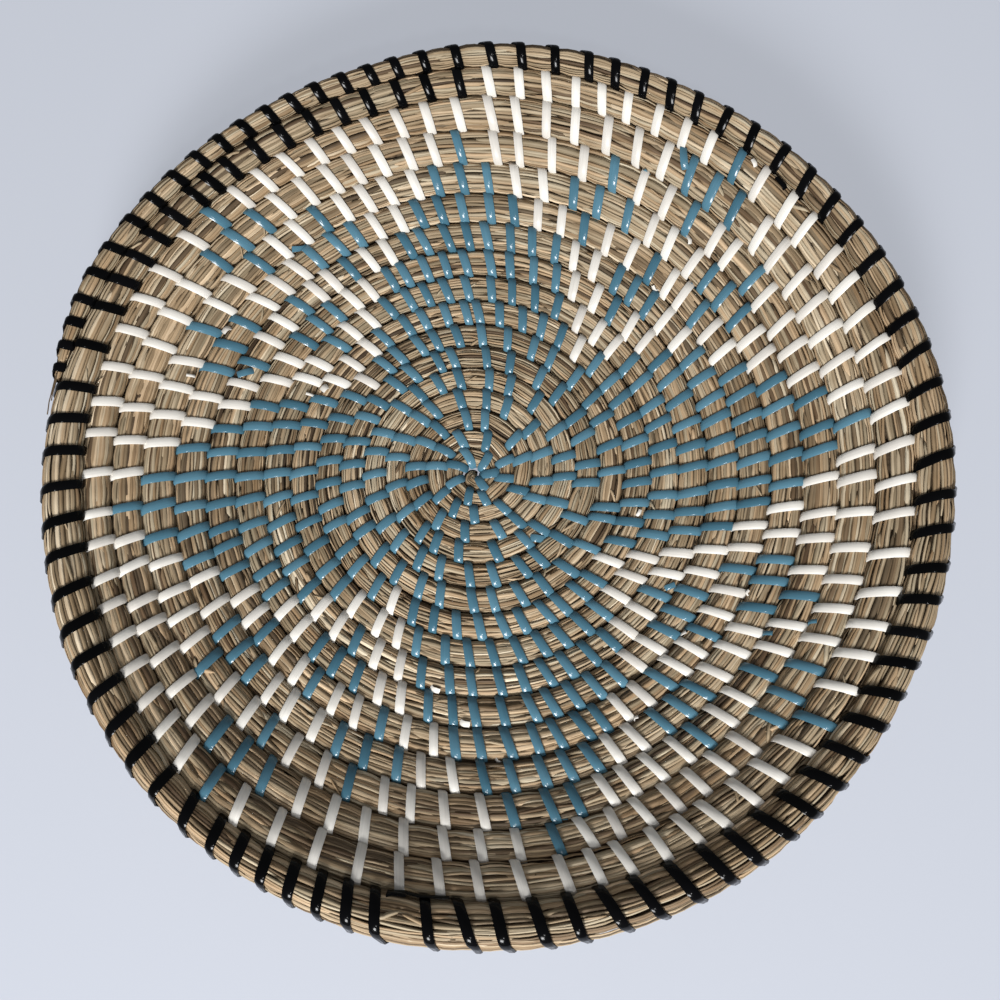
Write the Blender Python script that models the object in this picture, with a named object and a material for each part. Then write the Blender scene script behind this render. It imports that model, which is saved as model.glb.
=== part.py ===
"""A shallow coiled basket: one grass bundle wound outwards and stitched with flat strap.

The bundle starts at the middle of the floor and winds outwards, counter-clockwise seen from
above. It lies flat over the floor, climbs up the wall, thickens towards the rim and tapers to
a loose end. Black strap is lashed round its last turns. White and blue strap runs along the
coil between the turns inside them.

Units are metres, +Z is up, and the basket stands on z = 0.
"""

import math
from collections import namedtuple

import bmesh
import bpy
from mathutils import Vector

MM = 0.001

# The bowl: a flat floor, then a wall whose slope grows evenly from the floor to the rim.
FLOOR_RADIUS = 45 * MM
WALL_LENGTH = 106 * MM
RIM_SLOPE = math.radians(40)

# The coil. The pitch is the distance from one turn to the next, so it is a bundle and a gap.
COIL_TURNS = 16.75
COIL_END_ANGLE = math.radians(168.5)
START_RADIUS = 3.8 * MM
RIM_PITCH = 12.5 * MM
STANDING_CUT = 0.5 * MM
BUNDLE_HEIGHT_SHARE = 0.95

# The middle of the floor lies off the rim's centre, as it does on handmade coil work. The first
# turns are moved back a little, less and less up to CENTRE_REACH.
FLOOR_OFFSET = Vector((-4.7 * MM, 6.1 * MM, 0))
CENTRE_OFFSET = Vector((1.8 * MM, -3.6 * MM, 0))
CENTRE_REACH = 40 * MM

# Turns left before the loose end, and the pitch there as a share of RIM_PITCH. The last turns
# are the uneven ones of a hand-wound basket.
PITCH_SHARES = (
    (16.75, 0.45),
    (12.0, 0.64),
    (8.0, 0.78),
    (5.0, 0.87),
    (3.4, 0.90),
    (3.2, 0.94),
    (3.05, 0.90),
    (2.94, 0.79),
    (2.88, 0.86),
    (2.83, 1.00),
    (2.78, 0.92),
    (2.72, 0.80),
    (2.6, 0.89),
    (2.4, 1.00),
    (2.22, 0.96),
    (2.17, 0.80),
    (2.05, 0.83),
    (1.91, 0.74),
    (1.86, 0.85),
    (1.82, 0.95),
    (1.45, 0.96),
    (1.34, 0.91),
    (1.3, 0.78),
    (1.2, 0.79),
    (1.13, 0.76),
    (1.03, 0.81),
    (0.99, 0.92),
    (0.9, 0.98),
    (0.83, 0.76),
    (0.79, 0.82),
    (0.75, 1.00),
    (0.64, 0.99),
    (0.55, 0.85),
    (0.45, 0.85),
    (0.36, 0.72),
    (0.25, 0.67),
    (0.19, 0.54),
    (0.03, 0.52),
    (0.0, 0.34),
)

# The strap, and the room it has between two turns.
STRAP_WIDTH = 3.4 * MM
STRAP_THICKNESS = 0.4 * MM
CLEARANCE = 0.3 * MM
MITRE_SHARE = 1.12
TURN_GAP = (STRAP_THICKNESS + 2 * CLEARANCE) * MITRE_SHARE

# The black lashing: the turns it covers before the loose end, and how its curls lie. A curl
# leans over the bundle and steps forward below it, where it is slack enough to pass a bend of
# the bundle. Where two lashed turns lie side by side, the lean puts the curls of one between
# those of the other.
LASHED_TURNS = 1.19
LASHING_STRAPS = 4
CURLS_PER_STATION = 3
CURL_LEAN_SHARE = 0.42
CURL_SIDE_SHARE = 0.04
CURL_SLACK = 0.3 * MM

# The white and blue straps run on edge between the turns, one length after another.
RUN_HEIGHT = 3.0 * MM
WHITE_RUNS = 3
BLUE_RUN_TURNS = 1.3
RUN_JOIN_STATIONS = 1

# Points of the faceted bundle: stations round each turn, and the corners of its section as
# shares of half its width and half its height, from the outer side over the top.
STATIONS_PER_TURN = 24
OUTER, TOP_OUTER, TOP_INNER, INNER, BOTTOM_INNER, BOTTOM_OUTER = range(6)
CORNER_SHARES = ((1, 0), (0.5, 1), (-0.5, 1), (-1, 0), (-0.5, -1), (0.5, -1))

STATIONS = round(COIL_TURNS * STATIONS_PER_TURN) + 1
RIM_ARC = FLOOR_RADIUS + WALL_LENGTH

# Edges that turn by more than this stay crisp.
CRISP_EDGE = math.radians(40)

# Each look is a material's name, its colour and its roughness.
GRASS = ("dry_grass", (0.40, 0.29, 0.16, 1), 0.7)
BLACK = ("black_strap", (0.006, 0.006, 0.007, 1), 0.25)
WHITE = ("white_strap", (0.82, 0.80, 0.77, 1), 0.45)
BLUE = ("blue_strap", (0.07, 0.24, 0.38, 1), 0.3)

Station = namedtuple("Station", "centre outward up half_width half_height")


def clear_scene():
    for obj in list(bpy.data.objects):
        bpy.data.objects.remove(obj)


def make_material(look):
    name, colour, roughness = look
    material = bpy.data.materials.new(name)
    material.use_nodes = True
    shader = material.node_tree.nodes["Principled BSDF"]
    shader.inputs["Base Color"].default_value = colour
    shader.inputs["Roughness"].default_value = roughness
    shader.inputs["Metallic"].default_value = 0
    return material


def pitch_at(station):
    """The pitch at a station, read between the two nearest lines of PITCH_SHARES."""
    left = (STATIONS - 1 - station) / STATIONS_PER_TURN
    for (further, share), (nearer, next_share) in zip(PITCH_SHARES, PITCH_SHARES[1:]):
        if left >= nearer:
            along = min((further - left) / (further - nearer), 1)
            return RIM_PITCH * (share + (next_share - share) * max(along, 0))
    return RIM_PITCH * PITCH_SHARES[-1][1]


def arc_lengths():
    """Distance of each station from the middle of the floor, measured along floor and wall."""
    arcs = []
    for station in range(STATIONS):
        if station < STATIONS_PER_TURN:
            arcs.append(START_RADIUS + pitch_at(0) * station / STATIONS_PER_TURN)
        else:
            inside = station - STATIONS_PER_TURN
            arcs.append(arcs[inside] + (pitch_at(station) + pitch_at(inside)) / 2)
    return arcs


def bowl_profile(arc):
    """Radius, height and slope of the bowl at a distance along its floor and wall."""
    if arc <= FLOOR_RADIUS:
        return arc, 0, 0
    slope = RIM_SLOPE * (arc - FLOOR_RADIUS) / WALL_LENGTH
    bend_radius = WALL_LENGTH / RIM_SLOPE
    return FLOOR_RADIUS + bend_radius * math.sin(slope), bend_radius * (1 - math.cos(slope)), slope


def coil_stations():
    """Centre, directions and half sizes of the bundle at each station of the coil."""
    stations = []
    bed = 0
    for index, arc in enumerate(arc_lengths()):
        angle = COIL_END_ANGLE - math.tau * (STATIONS - 1 - index) / STATIONS_PER_TURN
        radius, rise, slope = bowl_profile(arc)
        across = Vector((math.cos(angle), math.sin(angle), 0))
        vertical = Vector((0, 0, 1))
        outward = across * math.cos(slope) + vertical * math.sin(slope)
        up = vertical * math.cos(slope) - across * math.sin(slope)
        # Turns lie closer together on the side towards which the floor's middle is moved.
        inner_share = max(1 - arc / CENTRE_REACH, 0)
        stretch = 1 - FLOOR_OFFSET.dot(across) / RIM_ARC
        stretch -= 2 * inner_share * CENTRE_OFFSET.dot(across) / CENTRE_REACH
        half_width = (pitch_at(index) * stretch - TURN_GAP) / 2
        half_height = (pitch_at(index) - TURN_GAP) / 2 * BUNDLE_HEIGHT_SHARE
        # The floor's turns all stand on the ground. The wall's turns follow from the last of them.
        if arc <= FLOOR_RADIUS:
            bed = half_height - STANDING_CUT
        centre = FLOOR_OFFSET * (1 - arc / RIM_ARC) + CENTRE_OFFSET * inner_share**2 + across * radius
        centre.z = rise + bed
        stations.append(Station(centre, outward, up, half_width, half_height))
    return stations


def corner_point(station, corner, offset=0):
    """A corner of the bundle's section, moved out by offset from the two sides it joins."""
    corners = []
    for across_share, up_share in CORNER_SHARES:
        corners.append(Vector((across_share * station.half_width, up_share * station.half_height)))
    here = corners[corner]
    before = corners[corner - 1]
    after = corners[(corner + 1) % len(corners)]
    side_in = (here - before).normalized()
    side_out = (after - here).normalized()
    normal_in = Vector((side_in.y, -side_in.x))
    normal_out = Vector((side_out.y, -side_out.x))
    moved = here + (normal_in + normal_out) * offset / (1 + normal_in.dot(normal_out))
    return station.centre + station.outward * moved.x + station.up * moved.y


def point_between(stations, place, corner, offset):
    """A corner point at a place along the coil, on the straight run between two stations."""
    first = min(int(place), len(stations) - 2)
    along = place - first
    near = corner_point(stations[first], corner, offset)
    far = corner_point(stations[first + 1], corner, offset)
    return near.lerp(far, along)


def swept_solid(name, rings, material):
    """One closed solid through rings that have the same number of points."""
    mesh = bpy.data.meshes.new(name)
    shape = bmesh.new()
    rows = []
    for ring in rings:
        rows.append([shape.verts.new(point) for point in ring])
    for row, following in zip(rows, rows[1:]):
        for side in range(len(row)):
            shape.faces.new((row[side - 1], row[side], following[side], following[side - 1]))
    shape.faces.new(reversed(rows[0]))
    shape.faces.new(rows[-1])
    bmesh.ops.recalc_face_normals(shape, faces=shape.faces)
    shape.to_mesh(mesh)
    shape.free()
    mesh.materials.append(material)
    mesh.shade_smooth()
    mesh.set_sharp_from_angle(angle=CRISP_EDGE)
    solid = bpy.data.objects.new(name, mesh)
    bpy.context.scene.collection.objects.link(solid)
    return solid


def coil_rings(stations):
    """The bundle's section at every station, cut flat where it stands on the ground."""
    rings = []
    for station in stations:
        ring = [corner_point(station, corner) for corner in range(len(CORNER_SHARES))]
        for point in ring:
            point.z = max(point.z, 0)
        rings.append(ring)
    return rings


def strap_ring(stations, place, corner):
    """The lashing's section where it turns over a corner of the bundle."""
    first = min(int(place), len(stations) - 2)
    run = (stations[first + 1].centre - stations[first].centre).length
    half = STRAP_WIDTH / 2 / run
    inside = CLEARANCE
    if corner in (BOTTOM_INNER, BOTTOM_OUTER):
        inside += CURL_SLACK
    outside = inside + STRAP_THICKNESS
    return [
        point_between(stations, place - half, corner, inside),
        point_between(stations, place + half, corner, inside),
        point_between(stations, place + half, corner, outside),
        point_between(stations, place - half, corner, outside),
    ]


def lashing_rings(stations, first_curl, last_curl, lashing_start):
    """Curls of strap round the bundle: up in the groove, over the top, down and back below."""
    step = 1 / CURLS_PER_STATION
    lean = step * CURL_LEAN_SHARE
    side = step * CURL_SIDE_SHARE
    rings = []
    for curl in range(first_curl, last_curl):
        place = lashing_start + (curl + 0.5 - CURL_LEAN_SHARE / 2) * step
        rings.append(strap_ring(stations, place, INNER))
        rings.append(strap_ring(stations, place + side, TOP_INNER))
        rings.append(strap_ring(stations, place + lean - side, TOP_OUTER))
        rings.append(strap_ring(stations, place + lean, OUTER))
        rings.append(strap_ring(stations, place + lean + side, BOTTOM_OUTER))
        if curl < last_curl - 1:
            rings.append(strap_ring(stations, place + step - side, BOTTOM_INNER))
    return rings


def run_rings(stations, first, last):
    """A strap on edge, midway between the bundle and the turn inside it."""
    rings = []
    for index in range(first, last + 1):
        outer_turn = stations[index]
        inner_turn = stations[index - STATIONS_PER_TURN]
        middle = (corner_point(outer_turn, INNER) + corner_point(inner_turn, OUTER)) / 2
        across = (outer_turn.outward + inner_turn.outward).normalized() * STRAP_THICKNESS / 2
        up = (outer_turn.up + inner_turn.up).normalized() * RUN_HEIGHT / 2
        low = middle - up
        high = middle + up
        rings.append([low - across, low + across, high + across, high - across])
    return rings


def least_gap_between_turns(rings, points_per_turn):
    """Smallest distance from a ring's points to those of the next turn, near the same angle."""
    least = math.inf
    for index in range(len(rings) - points_per_turn):
        for near in range(index + points_per_turn - 1, min(index + points_per_turn + 2, len(rings))):
            for point in rings[index]:
                for other in rings[near]:
                    least = min(least, (point - other).length)
    return least


def build_coil(stations, grass):
    rings = coil_rings(stations)
    gap = least_gap_between_turns(rings, STATIONS_PER_TURN)
    print(f"grass_coil: least gap between its turns {gap / MM:.2f} mm")
    return swept_solid("grass_coil", rings, grass)


def build_lashing(stations, black):
    """The black strap in several lengths, one after another along the last turns."""
    lashing_start = STATIONS - 1 - round(LASHED_TURNS * STATIONS_PER_TURN)
    curls = (STATIONS - 1 - lashing_start) * CURLS_PER_STATION
    straps = []
    for number in range(LASHING_STRAPS):
        first_curl = curls * number // LASHING_STRAPS
        last_curl = curls * (number + 1) // LASHING_STRAPS
        rings = lashing_rings(stations, first_curl, last_curl, lashing_start)
        gap = least_gap_between_turns(rings, len(CORNER_SHARES))
        name = f"black_strap_{number + 1}"
        print(f"{name}: {last_curl - first_curl} curls, least gap between them {gap / MM:.2f} mm")
        straps.append(swept_solid(name, rings, black))
    return straps


def build_runs(stations, white, blue):
    """White strap in the turns just inside the lashing, blue strap from there to the middle."""
    last = STATIONS - 1 - round(LASHED_TURNS * STATIONS_PER_TURN) - RUN_JOIN_STATIONS
    lengths = []
    for number in range(WHITE_RUNS):
        first = last - STATIONS_PER_TURN + RUN_JOIN_STATIONS
        lengths.append((f"white_strap_{number + 1}", white, first, last))
        last = first - RUN_JOIN_STATIONS
    number = 1
    while last > STATIONS_PER_TURN + RUN_JOIN_STATIONS:
        first = max(last - round(BLUE_RUN_TURNS * STATIONS_PER_TURN), STATIONS_PER_TURN)
        lengths.append((f"blue_strap_{number}", blue, first, last))
        last = first - RUN_JOIN_STATIONS
        number += 1
    runs = []
    for name, material, first, last in lengths:
        runs.append(swept_solid(name, run_rings(stations, first, last), material))
    return runs


def centre_on_outline(solids):
    """Puts the origin under the middle of the basket's outline."""
    points = [vertex.co for solid in solids for vertex in solid.data.vertices]
    low = Vector((min(point.x for point in points), min(point.y for point in points), 0))
    high = Vector((max(point.x for point in points), max(point.y for point in points), 0))
    middle = (low + high) / 2
    for solid in solids:
        for vertex in solid.data.vertices:
            vertex.co -= middle
    print(f"outline {(high.x - low.x) / MM:.1f} by {(high.y - low.y) / MM:.1f} mm, moved by {middle / MM}")


def main():
    clear_scene()
    stations = coil_stations()
    solids = [build_coil(stations, make_material(GRASS))]
    solids += build_lashing(stations, make_material(BLACK))
    solids += build_runs(stations, make_material(WHITE), make_material(BLUE))
    centre_on_outline(solids)


main()
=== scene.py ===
"""A coiled basket: a bundle of dry grass wound outwards and stitched with flat strap.

The grass is laid straw by straw along the coil. Each stitch of strap goes over its bundle, round
the outer side and back below. The white and blue ones make a star with four petals, and the black
ones lash the last turn and a little more.
"""
import math

import bmesh
import bpy
import numpy as np
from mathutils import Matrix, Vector


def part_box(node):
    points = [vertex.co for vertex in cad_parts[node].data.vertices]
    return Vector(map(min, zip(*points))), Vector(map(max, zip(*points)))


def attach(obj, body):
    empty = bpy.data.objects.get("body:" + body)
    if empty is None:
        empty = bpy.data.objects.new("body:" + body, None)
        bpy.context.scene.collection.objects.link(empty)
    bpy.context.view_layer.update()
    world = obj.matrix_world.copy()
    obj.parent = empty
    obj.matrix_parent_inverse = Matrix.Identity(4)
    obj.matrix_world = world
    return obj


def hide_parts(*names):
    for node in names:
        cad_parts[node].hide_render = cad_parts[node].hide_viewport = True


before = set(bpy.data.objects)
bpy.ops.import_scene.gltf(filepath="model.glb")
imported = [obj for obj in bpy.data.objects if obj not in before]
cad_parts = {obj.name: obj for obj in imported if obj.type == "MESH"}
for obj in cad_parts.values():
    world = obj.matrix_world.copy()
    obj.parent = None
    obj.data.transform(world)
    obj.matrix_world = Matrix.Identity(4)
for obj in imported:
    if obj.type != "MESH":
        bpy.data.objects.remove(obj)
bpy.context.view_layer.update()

bpy.ops.object.select_all(action="DESELECT")
MM = 0.001

# The coil, as the solids have it.

# The flat floor, and the wall that curves up from it to its slope at the rim.
FLOOR_RADIUS = 45 * MM
WALL_LENGTH = 106 * MM
RIM_SLOPE = math.radians(40)
COIL_TURNS = 16.75
COIL_END_ANGLE = math.radians(168.5)
START_RADIUS = 3.8 * MM
RIM_PITCH = 12.5 * MM
# The tube of the solids: cut flat below, a little flat, and apart from the next turn.
STANDING_CUT = 0.5 * MM
SOLID_HEIGHT_SHARE = 0.95
SOLID_TURN_GAP = 1.12 * MM
SOLID_STATIONS_PER_TURN = 24
# How far the floor lies aside of the rim, and its middle aside of the floor.
FLOOR_OFFSET = np.array((-4.7 * MM, 6.1 * MM, 0))
CENTRE_OFFSET = np.array((1.8 * MM, -3.6 * MM, 0))
CENTRE_REACH = 40 * MM

# Turns left before the loose end, and how thick its bundle still is there.
LOOSE_END_SHARES = ((0.0, 0.5), (0.012, 0.75), (0.035, 1.0))
# Turns left before the loose end, and the pitch there as a share of RIM_PITCH.
PITCH_SHARES = (
    (0.0, 0.34), (0.03, 0.52), (0.19, 0.54), (0.25, 0.67), (0.36, 0.72), (0.45, 0.85), (0.55, 0.85),
    (0.64, 0.99), (0.75, 1.00), (0.79, 0.82), (0.83, 0.76), (0.9, 0.98), (0.99, 0.92), (1.03, 0.81),
    (1.13, 0.76), (1.2, 0.79), (1.3, 0.78), (1.34, 0.91), (1.45, 0.96), (1.82, 0.95), (1.86, 0.85),
    (1.91, 0.74), (2.05, 0.83), (2.17, 0.80), (2.22, 0.96), (2.4, 1.00), (2.6, 0.89), (2.72, 0.80),
    (2.78, 0.92), (2.83, 1.00), (2.88, 0.86), (2.94, 0.79), (3.05, 0.90), (3.2, 0.94), (3.4, 0.90),
    (5.0, 0.87), (8.0, 0.78), (12.0, 0.64), (16.75, 0.45),
)

# The bundle as it is seen: its section, how the stitches pinch it, and its run between them.
BUNDLE_OVERLAP = 0.1 * MM
BUNDLE_HEIGHT_SHARE = 0.455
SECTION_FULLNESS = 3.0
# How much a stitch narrows the bundle, by its half width.
PINCH_SHARES = ((3.5 * MM, 0.13), (5.8 * MM, 0.05))
# The pinch's flat part to each side of a stitch, and the rise beyond it.
PINCH_FLAT = 2.0 * MM
PINCH_RISE = 3.0 * MM
# How far the bundle runs straight from stitch to stitch instead of along the curve.
CHORD_SHARE = 0.85
SAMPLES_PER_TURN = 960
SECTION_SAMPLES = 721
# The curled start inside the first turn: its length, and how fast it tightens and thins.
CURLED_SAMPLES = 480
CURL_TIGHTENING = 1.9
CURL_NARROWING = 1.0
# The grass stays this far above the ground, and the strap that it rests on STRAP_REST.
GROUND_REST = 0.5 * MM
STRAP_REST = 0.02 * MM
# The columns of the course that coil_course makes.
CENTRE, OUTWARD, UP = slice(0, 3), slice(3, 6), slice(6, 9)
HALF_WIDTH, HALF_HEIGHT, REACH, LENGTH = 9, 10, 11, 12

# The stitches.

# Black stitches: their count from the inner end of the lashing, and the turns left there.
LASHING_MARKS = (
    (0, 1.208), (8, 1.107), (10, 1.089), (15, 1.032), (17, 0.998), (31, 0.815), (37, 0.754),
    (38, 0.737), (46, 0.637), (57, 0.508), (72, 0.315), (77, 0.259), (82, 0.195), (92, 0.089),
    (97, 0.030), (99, 0.012), (100, 0.004),
)

# The star: each row's stitches from one diagonal to the next, B blue and W white. The first
# letter is on the diagonal and the petal's middle is halfway.
STAR_ROWS = (
    "B" + "W" * 17,
    "BB" + "W" * 7 + "B" + "W" * 7 + "B",
    "BWWBWWWWBBBWWWWBWW",
    "WWBBBWWBBBBBWWBBBW",
    "BWWBWWBBBBBBBWWBWW",
    "BBWWBBBBBBBBBWWB",
    "BWWBBBBBBBBBWW",
    "WWBBBBBBBBBW",
    "WBBBBBBBBBB",
)
# Each quarter's diagonal and middle in degrees, at the rows that DIAGONAL_ROWS and PETAL_ROWS name.
DIAGONAL_ROWS = (1, 6, 9)
DIAGONALS = (
    (50.1, 50.1, 50.9), (136.1, 136.5, 140.0), (230.1, 234.0, 238.5), (321.4, 324.4, 325.1),
)
PETAL_ROWS = (2, 5, 9)
PETALS = ((93.9, 93.6, 93.7), (186.9, 187.6, 189.2), (280.9, 281.6, 283.6), (367.0, 366.8, 366.7))
# The rows whose first quarter has another number of stitches before its middle.
FIRST_HALVES = {1: 10, 3: 8, 4: 8, 5: 8}
# The plain blue rows inside the star, and the stitches inside those.
BLUE_ROW_COUNTS = (32, 26, 20, 16, 11, 8)
CENTRE_STITCHES = 3

# Turns left before the loose end where the star ends.
STAR_END = 10.2
# How far stitches stray from even places, as a share of the step between them: inside the star,
# in it and in the lashing.
LOOSE_SPREAD = 0.14
STAR_SPREAD = 0.07
LASHING_SPREAD = 0.03
MOST_SPREADS = 2
# The room of the first and the last stitch to stray, in turns.
FIRST_ROOM = 0.1
LAST_ROOM = 0.01
TURN_HAIR = 0.001
# How far along the last stitch ends below the bundle, in turns.
LAST_STITCH_STEP = 0.006
# Places on the curled start between which its straws lie as between stitches.
CURL_FENCE = (-0.5, -0.33, -0.15)

STRAP_WIDTH = 3.1 * MM
STRAP_THICKNESS = 0.7 * MM
STRAP_PATH_REST = STRAP_THICKNESS + 0.03 * MM
# The strap's height over the grass: everywhere, more at the inner side, and more at the outer
# side, about a place round the bundle and to a breadth, both in radians.
STRAP_LIFT = 0.2 * MM
STRAP_BITE = 0.9 * MM
STRAP_STAND_OFF = 0.35 * MM
STAND_OFF_PLACE = 0.55
STAND_OFF_BREADTH = 0.5
# A stitch's steps, and how many of them lie over the bundle.
STRAP_STEPS = 13
STRAP_STEPS_OVER = 8
STRAP_SHARP_ANGLE = math.radians(50)
STRAP_EVENNESS = (0.95, 1.05)
STRAP_TONES = (0.2, 1)
# The lay's length on a stitch, and its shift from stitch to stitch.
STRAP_LAY = 40 * MM
STRAP_LAY_SHIFT = 0.013
# How wide the strap is on its way over the bundle, from the inner side to the outer side.
STRAP_WIDTHS = (
    (0, 0.8), (0.14, 0.92), (0.3, 1.0), (0.74, 1.0), (0.86, 0.97), (0.96, 0.86), (1.0, 0.8),
)
# How much wider the black strap is, by turns left before the loose end.
BLACK_WIDTHS = ((0.4, 1.02), (0.58, 1.07), (0.75, 1.1), (0.88, 1.07), (1.0, 1.02))
# Turns left, and the stitch's lean from the line across the bundle in degrees.
STRAP_LEANS = ((0, 21), (1.2, 21), (2.5, 20), (8, 19), (10, 18), (12, 15), (17, 12))
LEAN_SPREAD = 0.17

# The straws.

# How far apart straws lie round a bundle, by the bundle's half width.
STRAW_SPACINGS = ((3.0 * MM, 0.88 * MM), (6.0 * MM, 1.1 * MM))
# Steps of a straw for each stitch that it passes. The first one in a lane starts fewer than
# STRAW_STARTS steps early, and the next ones overlap it by fewer than STRAW_OVERLAPS.
STRAW_STEPS = 4
STRAW_STARTS = 9
STRAW_OVERLAPS = 3
# How much wider straws are than STRAW_WIDTHS says, by the bundle's half width.
STRAW_BROADENING = ((3.6 * MM, 1.12), (5.8 * MM, 1.62))
# How far a straw strays from its lane at each stitch, in lanes.
STRAW_STRAYING = 0.25
STRAW_SLANT = 0.36
# How many stitches straws pass, and how many short of the loose end they may stop.
STRAW_RUNS = (3, 5, 8, 12)
STRAW_SHORTFALL = 1.6
# Thin stems, usual ones and flat blades: width as a share of the spacing, chance and mean tone.
STRAW_WIDTHS = (0.75, 1.05, 1.4, 1.85)
STRAW_WIDTH_CHANCES = (0.26, 0.36, 0.26, 0.12)
STRAW_TONES = (0.55, 0.52, 0.50, 0.53)
STRAW_TONE_SPREAD = 0.2
DARK_STRAW_CHANCE = 0.07
DARK_STRAW_SHARE = 0.3
STRAW_EVENNESS = (0.85, 1.15)
STRAW_FLATNESS = (0.22, 0.38)
STRAW_THICKEST = 0.27 * MM
# How a straw's upper side lies to the bundle's surface in mm, there and between the stitches.
STRAW_HEIGHTS = (-0.14, 0.1)
STRAW_STANDS = (-0.1, 0.22)
# A straw's ends: their length in steps, how deep they go and how wide they still are.
STRAW_END_STEPS = 1.6
STRAW_END_DEPTH = 0.6 * MM
STRAW_END_WIDTH = 0.35
# The lay's length from stitch to stitch.
STRAW_LAY = 9 * MM
# A four-cornered bundle's way round as a share of a round one's.
SECTION_GIRTH_SHARE = 1.11
# The inside, under the straws, coloured dark as painted shade. In its last turn it has no turn
# outside it.
CORE_DEPTH = 1.15 * MM
CORE_REST = GROUND_REST + 0.3 * MM
CORE_SIDES = 12
CORE_RINGS_PER_TURN = 96
CORE_ENDS = (-0.49, COIL_TURNS - 0.004)
LAST_TURN = COIL_TURNS - 1.003

rng = np.random.default_rng(24)


def read_table(value, table):
    """The amount for a value, from a table of places and amounts."""
    places, amounts = zip(*table)
    return np.interp(value, places, amounts)


def coil_course():
    """The bundle from its curled start to its loose end, a row for each sample.

    The columns are its centre, outward and up directions, half width and half height, how far a
    stitch leans along it in turns, and its length in a turn.
    """
    count = round(COIL_TURNS * SAMPLES_PER_TURN) + 1
    turned = np.arange(count) / SAMPLES_PER_TURN
    pitch = RIM_PITCH * read_table(COIL_TURNS - turned, PITCH_SHARES)
    arc = START_RADIUS + pitch[0] * turned
    for start in range(SAMPLES_PER_TURN, count, SAMPLES_PER_TURN):
        here = slice(start, min(start + SAMPLES_PER_TURN, count))
        inside = slice(start - SAMPLES_PER_TURN, here.stop - SAMPLES_PER_TURN)
        arc[here] = arc[inside] + (pitch[here] + pitch[inside]) / 2
    # The start is curled up tightly inside the first turn, and closes its middle.
    curl = np.arange(-CURLED_SAMPLES, 0) / SAMPLES_PER_TURN
    turned = np.concatenate((curl, turned))
    pitch = np.concatenate((pitch[0] * (1 + CURL_NARROWING * curl), pitch))
    arc = np.concatenate((START_RADIUS * (1 + CURL_TIGHTENING * curl), arc))
    on_floor = arc <= FLOOR_RADIUS
    bend_radius = WALL_LENGTH / RIM_SLOPE
    slope = np.where(on_floor, 0, RIM_SLOPE * (arc - FLOOR_RADIUS) / WALL_LENGTH)
    radius = np.where(on_floor, arc, FLOOR_RADIUS + bend_radius * np.sin(slope))
    rise = bend_radius * (1 - np.cos(slope))
    half_height = (pitch - SOLID_TURN_GAP) / 2 * SOLID_HEIGHT_SHARE
    bed = np.where(on_floor, half_height - STANDING_CUT, half_height[on_floor][-1] - STANDING_CUT)
    angle = COIL_END_ANGLE - math.tau * (COIL_TURNS - turned)
    across = np.stack((np.cos(angle), np.sin(angle), 0 * angle), axis=1)
    vertical = np.array((0, 0, 1.0))
    cosine = np.cos(slope)[:, None]
    sine = np.sin(slope)[:, None]
    outward = across * cosine + vertical * sine
    up = vertical * cosine - across * sine
    rim_arc = FLOOR_RADIUS + WALL_LENGTH
    inner_share = np.maximum(1 - arc / CENTRE_REACH, 0)
    stretch = 1 - across @ FLOOR_OFFSET / rim_arc
    stretch -= 2 * inner_share * (across @ CENTRE_OFFSET) / CENTRE_REACH
    centre = FLOOR_OFFSET * (1 - arc / rim_arc)[:, None] + CENTRE_OFFSET * (inner_share**2)[:, None]
    centre += across * radius[:, None]
    centre[:, 2] = rise + bed
    # The solids are centred on their own outline, so the same shift is read from them.
    solid_half_width = (pitch * stretch - SOLID_TURN_GAP) / 2
    step = SAMPLES_PER_TURN // SOLID_STATIONS_PER_TURN
    outline = (centre + outward * solid_half_width[:, None])[CURLED_SAMPLES::step]
    low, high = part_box("grass_coil")
    centre[:, 0] += (low.x + high.x) / 2 - (outline[:, 0].min() + outline[:, 0].max()) / 2
    centre[:, 1] += (low.y + high.y) / 2 - (outline[:, 1].min() + outline[:, 1].max()) / 2
    half_width = pitch * stretch / 2 + BUNDLE_OVERLAP
    half_height = pitch * BUNDLE_HEIGHT_SHARE
    # The loose end thins out against the turn inside it.
    thinned = read_table(COIL_TURNS - turned, LOOSE_END_SHARES)
    centre -= outward * (half_width * (1 - thinned))[:, None]
    half_width *= thinned
    half_height *= thinned
    length = np.linalg.norm(np.gradient(centre, axis=0), axis=1) * SAMPLES_PER_TURN
    lean = np.radians(read_table(COIL_TURNS - turned, STRAP_LEANS))
    reach = 2 * half_width * np.tan(lean) / length
    return np.column_stack((centre, outward, up, half_width, half_height, reach, length))


COURSE = coil_course()


def read_course(turned):
    """The course's columns at any places along the coil, run on straight past its two ends."""
    place = np.asarray(turned, float) * SAMPLES_PER_TURN + CURLED_SAMPLES
    inside = np.clip(place, 0, len(COURSE) - 1.001)
    first = inside.astype(int)
    share = (inside - first)[..., None]
    columns = COURSE[first] * (1 - share) + COURSE[first + 1] * share
    past = (place - inside)[..., None]
    columns[..., CENTRE] += (COURSE[first + 1, CENTRE] - COURSE[first, CENTRE]) * past
    return columns


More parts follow.
